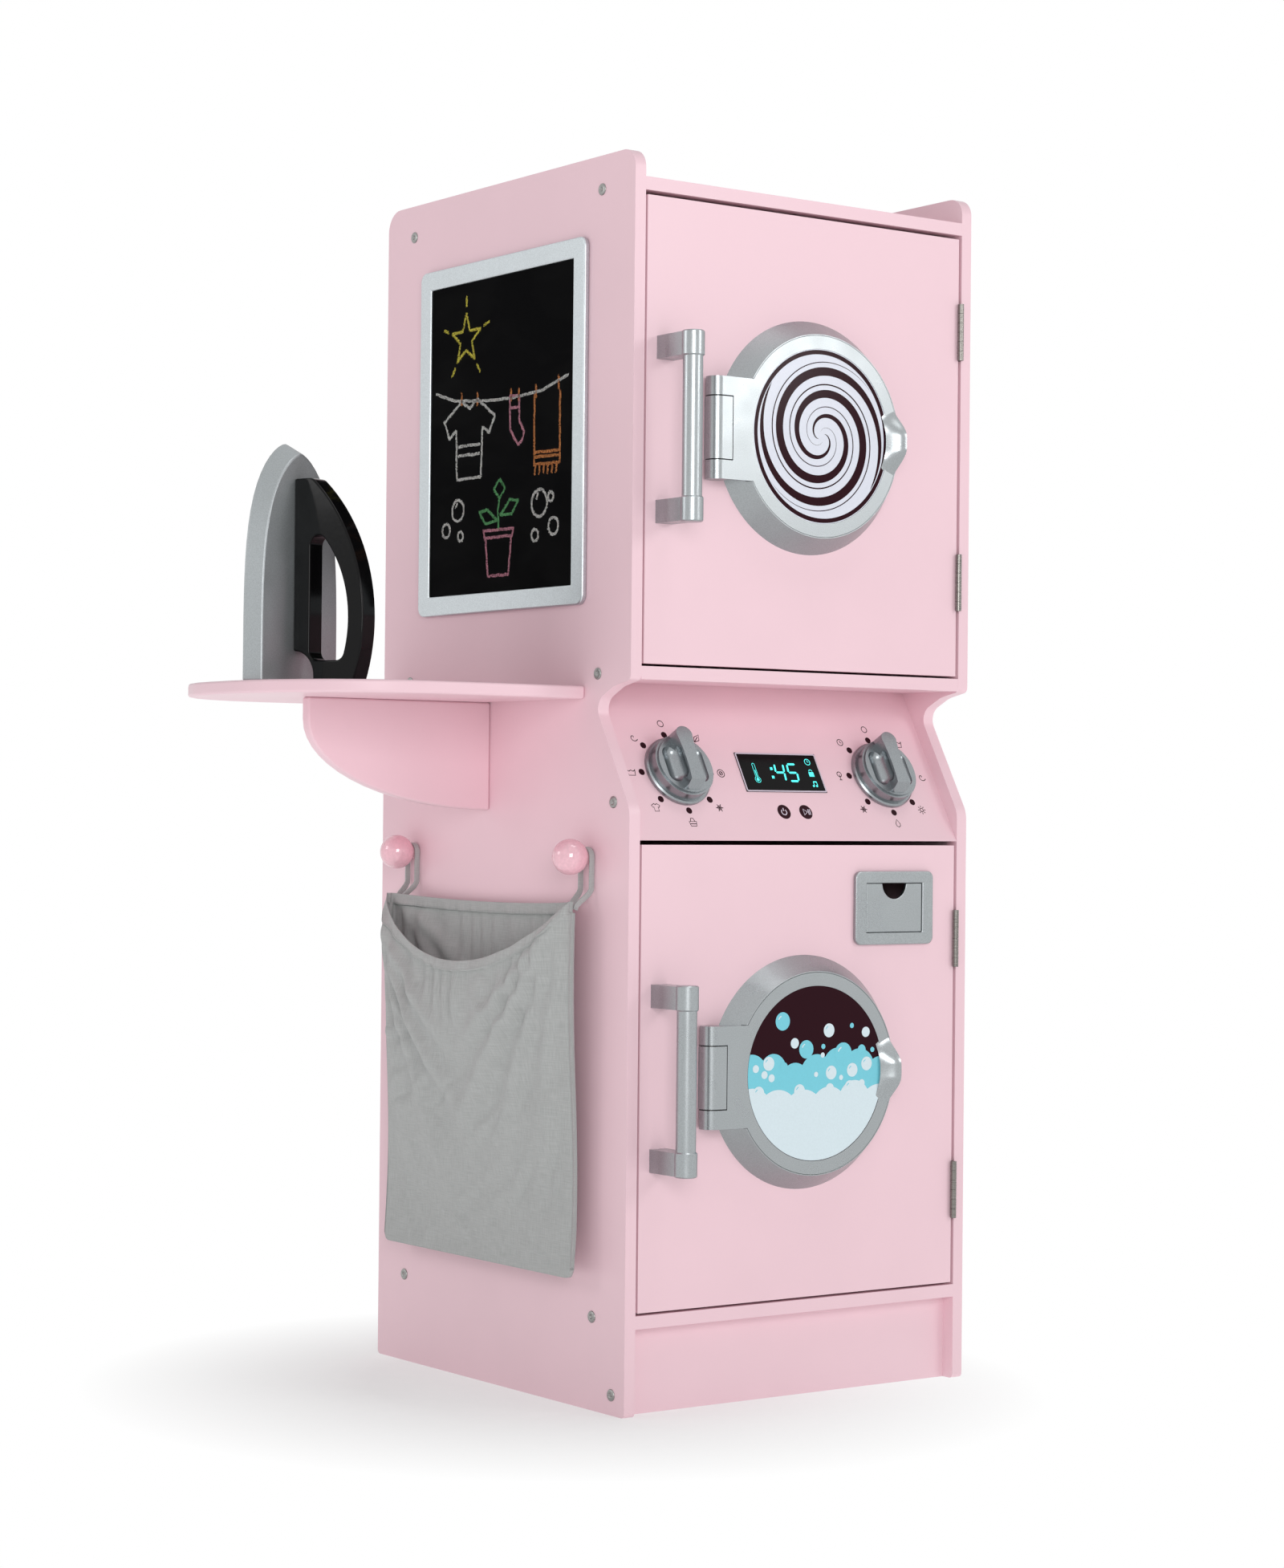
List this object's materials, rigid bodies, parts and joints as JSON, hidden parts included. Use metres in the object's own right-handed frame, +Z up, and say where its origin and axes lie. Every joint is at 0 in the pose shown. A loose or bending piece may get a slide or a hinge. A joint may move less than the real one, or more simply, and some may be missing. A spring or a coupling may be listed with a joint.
{
  "type": "toy laundry centre",
  "caption": "Free-standing toy dryer over washing machine with opening doors and portholes, turning knobs, ironing shelf with iron, chalkboard and hanging laundry bag.",
  "frame": {"origin": "middle of the footprint of the whole part, on the floor", "axes": "+X to the right seen from the front, +Y from the doors towards the back, +Z up"},
  "size_m": [0.6102, 0.4072, 1],
  "materials": {
    "painted_board": "satin pink paint on fibreboard",
    "silver_plastic": "satin silver",
    "plated_steel": "plated",
    "black_plastic": "gloss",
    "display_glass": "gloss",
    "blackboard": "matt black",
    "printed_disc": "gloss print",
    "grey_cotton": "matt woven"
  },
  "bodies": {
    "cabinet": {"left_side_panel": "painted_board", "right_side_panel": "painted_board", "top_board": "painted_board", "dryer_floor": "painted_board", "washer_floor": "painted_board", "kick_board": "painted_board", "dryer_back_panel": "painted_board", "washer_back_panel": "painted_board", "control_panel": "painted_board", "display_panel": "display_glass", "chalkboard_frame": "silver_plastic", "chalkboard": "blackboard", "ironing_shelf": "painted_board", "shelf_bracket": "painted_board", "bag_pegs": "painted_board", "cabinet_screws": "plated_steel", "dryer_frame_hinge_leaves": "plated_steel", "washer_frame_hinge_leaves": "plated_steel", "dryer_hinge_pins": "plated_steel", "washer_hinge_pins": "plated_steel", "dryer_door_magnet": "black_plastic", "washer_door_magnet": "black_plastic"},
    "dryer_door": {"dryer_door_board": "painted_board", "dryer_door_hinge_leaves": "plated_steel", "dryer_door_strike": "plated_steel", "dryer_handle_bar": "silver_plastic", "dryer_handle_posts": "silver_plastic", "dryer_handle_screws": "plated_steel", "dryer_porthole_bezel": "silver_plastic", "dryer_porthole_pin": "plated_steel"},
    "dryer_porthole": {"dryer_porthole_lid": "silver_plastic", "dryer_porthole_window": "printed_disc", "dryer_porthole_grip": "silver_plastic"},
    "washer_door": {"washer_door_board": "painted_board", "washer_door_hinge_leaves": "plated_steel", "washer_door_strike": "plated_steel", "washer_handle_bar": "silver_plastic", "washer_handle_posts": "silver_plastic", "washer_handle_screws": "plated_steel", "washer_porthole_bezel": "silver_plastic", "washer_porthole_pin": "plated_steel", "drawer_bezel": "silver_plastic"},
    "washer_porthole": {"washer_porthole_lid": "silver_plastic", "washer_porthole_window": "printed_disc", "washer_porthole_grip": "silver_plastic"},
    "detergent_drawer": {"drawer_front": "silver_plastic", "drawer_tray": "silver_plastic"},
    "left_program_knob": {"left_knob": "silver_plastic", "left_knob_screw": "plated_steel"},
    "right_program_knob": {"right_knob": "silver_plastic", "right_knob_screw": "plated_steel"},
    "iron": {"iron_sole": "silver_plastic", "iron_handle": "black_plastic"},
    "bag": {"laundry_bag": "grey_cotton", "bag_loops": "grey_cotton"}
  },
  "joints": [
    {"name": "dryer_door_hinge", "type": "hinge", "parent": "cabinet", "child": "dryer_door", "pos_m": [0.2904, -0.1612, 0.77875], "axis": [0, 0, 1], "range_deg": [0, 165]},
    {"name": "dryer_porthole_hinge", "type": "hinge", "parent": "dryer_door", "child": "dryer_porthole", "pos_m": [0.024, -0.1677, 0.783], "axis": [0, 0, 1], "range_deg": [-120, 0]},
    {"name": "washer_door_hinge", "type": "hinge", "parent": "cabinet", "child": "washer_door", "pos_m": [0.2904, -0.1612, 0.266], "axis": [0, 0, 1], "range_deg": [0, 165]},
    {"name": "washer_porthole_hinge", "type": "hinge", "parent": "washer_door", "child": "washer_porthole", "pos_m": [0.024, -0.1677, 0.2655], "axis": [0, 0, 1], "range_deg": [-120, 0]},
    {"name": "detergent_drawer_slide", "type": "slide", "parent": "washer_door", "child": "detergent_drawer", "axis": [0, -1, 0], "range_m": [0, 0.035]},
    {"name": "left_knob_turn", "type": "hinge", "parent": "cabinet", "child": "left_program_knob", "pos_m": [0.0173, -0.12791, 0.50833], "axis": [0, -0.8721, 0.4894], "continuous": true},
    {"name": "right_knob_turn", "type": "hinge", "parent": "cabinet", "child": "right_program_knob", "pos_m": [0.2345, -0.12791, 0.50833], "axis": [0, -0.8721, 0.4894], "continuous": true},
    {"name": "iron_lift", "type": "slide", "parent": "cabinet", "child": "iron", "axis": [0, 0, 1], "range_m": [0, 0.2]},
    {"name": "bag_lift", "type": "slide", "parent": "cabinet", "child": "bag", "axis": [0, 0, 1], "range_m": [0, 0.02]}
  ]
}
